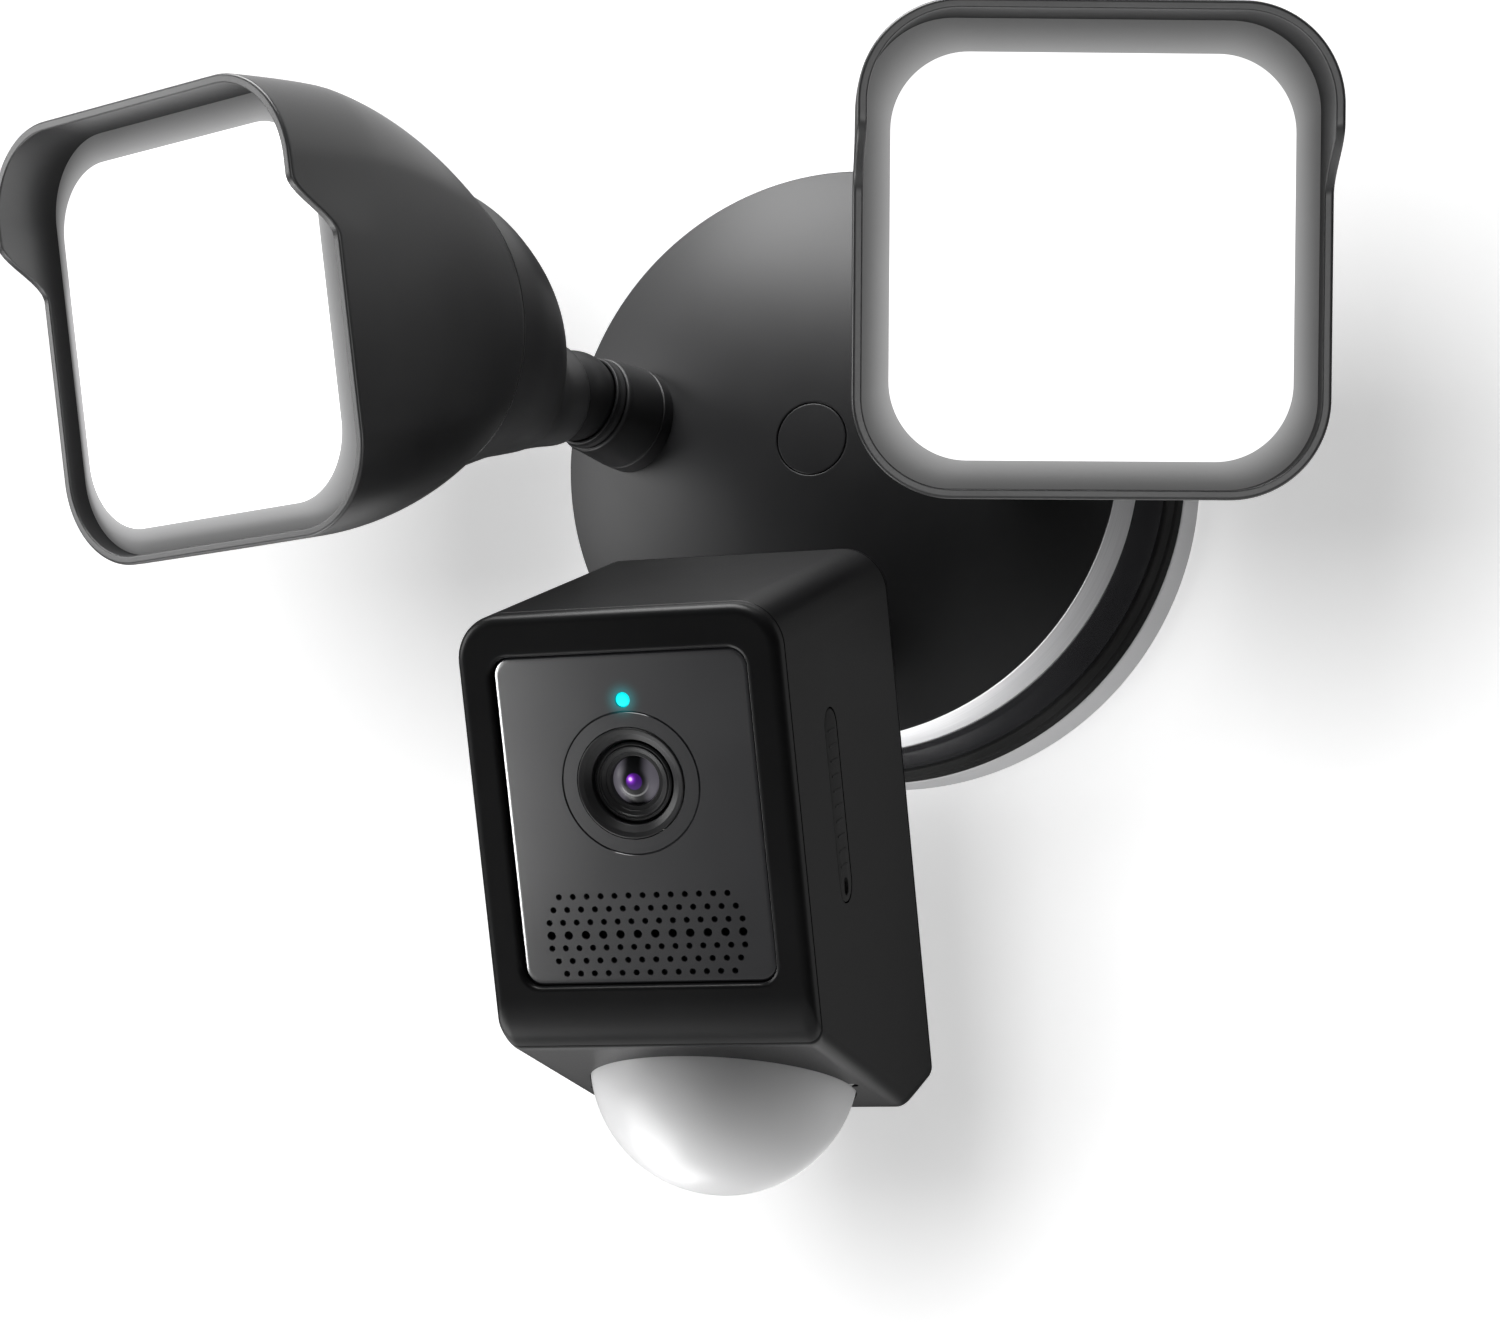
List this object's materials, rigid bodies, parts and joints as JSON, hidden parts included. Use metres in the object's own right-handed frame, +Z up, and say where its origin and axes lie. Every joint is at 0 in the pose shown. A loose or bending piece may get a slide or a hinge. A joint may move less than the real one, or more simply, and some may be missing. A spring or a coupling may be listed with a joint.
{
  "type": "floodlight security camera",
  "caption": "Wall-mounted security light: round domed base with hooded square lamp heads and a camera with a white motion-sensor dome, each on an aimable knuckle.",
  "frame": {"origin": "centre of the wall plate's back face, on the wall", "axes": "+Z up, +Y into the wall, -Y out towards the viewer, +X to the right when facing the object; joints at 0 as aimed in the reference view"},
  "size_m": [0.2824, 0.2149, 0.2371],
  "materials": {
    "wall_plate": "pale frosted",
    "seal": "matt",
    "gloss_skirt": "glossy",
    "trim": "satin",
    "housing": "satin black",
    "lamp_housing": "satin black",
    "inner_black": "moulded",
    "diffuser": "frosted, lit",
    "metal": "zinc plated",
    "aluminium": "extruded",
    "board": "solder mask",
    "white_board": "white solder mask",
    "component": "moulded",
    "terminal": "moulded",
    "front_panel": "gloss black",
    "lens_black": "gloss black",
    "lens": "coated",
    "indicator": "lit",
    "rubber": "matt",
    "milky_white": "milky"
  },
  "bodies": {
    "root": {"mounting_plate": "wall_plate", "seal_ring": "seal", "base_tray": "gloss_skirt", "trim_band": "trim", "front_cover": "housing", "hub_screw": "metal", "terminal_block": "terminal", "power_board": "board", "power_components": "component", "siren": "inner_black", "tray_screws": "metal", "arm_nuts": "metal", "left_arm_stub": "housing", "right_arm_stub": "housing", "camera_arm_stub": "housing"},
    "cover_plug": {"cover_plug": "housing"},
    "camera_swivel": {"camera_swivel_cup": "inner_black"},
    "camera_knuckle": {"camera_ball": "inner_black"},
    "camera": {"camera_tilt_pins": "metal", "camera_neck": "housing", "camera_back": "housing", "camera_shell": "housing", "camera_bezel": "housing", "front_glass": "front_panel", "lens_housing": "lens_black", "lens_barrel": "lens_black", "lens_glass": "lens", "status_light": "indicator", "image_board": "board", "main_board": "board", "side_board": "board", "speaker": "inner_black", "card_socket": "metal", "motion_dome": "milky_white", "motion_sensor": "board"},
    "side_plug": {"side_plug": "rubber"},
    "reset_button": {"reset_button": "inner_black"},
    "left_swivel": {"left_swivel_cup": "inner_black"},
    "left_knuckle": {"left_ball": "inner_black", "left_tilt_pin": "metal"},
    "left_lamp": {"left_neck_socket": "inner_black", "left_rear_bell": "lamp_housing", "left_front_housing": "lamp_housing", "left_diffuser": "diffuser", "left_gasket": "rubber", "left_led_board": "white_board", "left_heat_sink": "aluminium", "left_board_screws": "metal"},
    "right_swivel": {"right_swivel_cup": "inner_black"},
    "right_knuckle": {"right_ball": "inner_black", "right_tilt_pin": "metal"},
    "right_lamp": {"right_neck_socket": "inner_black", "right_rear_bell": "lamp_housing", "right_front_housing": "lamp_housing", "right_diffuser": "diffuser", "right_gasket": "rubber", "right_led_board": "white_board", "right_heat_sink": "aluminium", "right_board_screws": "metal"}
  },
  "joints": [
    {"name": "left_lamp_swivel", "type": "hinge", "parent": "root", "child": "left_swivel", "pos_m": [-0.0531, -0.08, 0.0113], "axis": [-0.3617, -0.9229, 0.1323], "range_deg": [-30, 30]},
    {"name": "left_lamp_tilt", "type": "hinge", "parent": "left_swivel", "child": "left_knuckle", "pos_m": [-0.0531, -0.08, 0.0113], "axis": [-0.9311, 0.3649, 0], "range_deg": [-20, 40]},
    {"name": "left_lamp_turn", "type": "hinge", "parent": "left_knuckle", "child": "left_lamp", "pos_m": [-0.0531, -0.08, 0.0113], "axis": [-0.3594, -0.9172, -0.1719], "range_deg": [-45, 45]},
    {"name": "right_lamp_swivel", "type": "hinge", "parent": "root", "child": "right_swivel", "pos_m": [0.0531, -0.08, 0.0113], "axis": [0.3617, -0.9229, 0.1323], "range_deg": [-30, 30]},
    {"name": "right_lamp_tilt", "type": "hinge", "parent": "right_swivel", "child": "right_knuckle", "pos_m": [0.0531, -0.08, 0.0113], "axis": [-0.9311, -0.3649, 0], "range_deg": [-20, 40]},
    {"name": "right_lamp_turn", "type": "hinge", "parent": "right_knuckle", "child": "right_lamp", "pos_m": [0.0531, -0.08, 0.0113], "axis": [0.3594, -0.9172, -0.1719], "range_deg": [-45, 45]},
    {"name": "camera_roll", "type": "hinge", "parent": "root", "child": "camera_swivel", "pos_m": [0, -0.097, -0.062], "axis": [0, -0.9397, -0.342], "range_deg": [-15, 15]},
    {"name": "camera_pan", "type": "hinge", "parent": "camera_swivel", "child": "camera_knuckle", "pos_m": [0, -0.097, -0.062], "axis": [0, -0.342, 0.9397], "range_deg": [-25, 25]},
    {"name": "camera_tilt", "type": "hinge", "parent": "camera_knuckle", "child": "camera", "pos_m": [0, -0.097, -0.062], "axis": [-1, 0, 0], "range_deg": [-20, 20]},
    {"name": "cover_plug_pull", "type": "slide", "parent": "root", "child": "cover_plug", "axis": [0, -1, 0], "range_m": [0, 0.012]},
    {"name": "side_plug_pull", "type": "slide", "parent": "camera", "child": "side_plug", "axis": [1, 0, 0], "range_m": [0, 0.008]},
    {"name": "reset_press", "type": "slide", "parent": "camera", "child": "reset_button", "axis": [-1, 0, 0], "range_m": [0, 0.001], "stiffness_N_per_m": 1200, "springref_m": -0.0005}
  ]
}
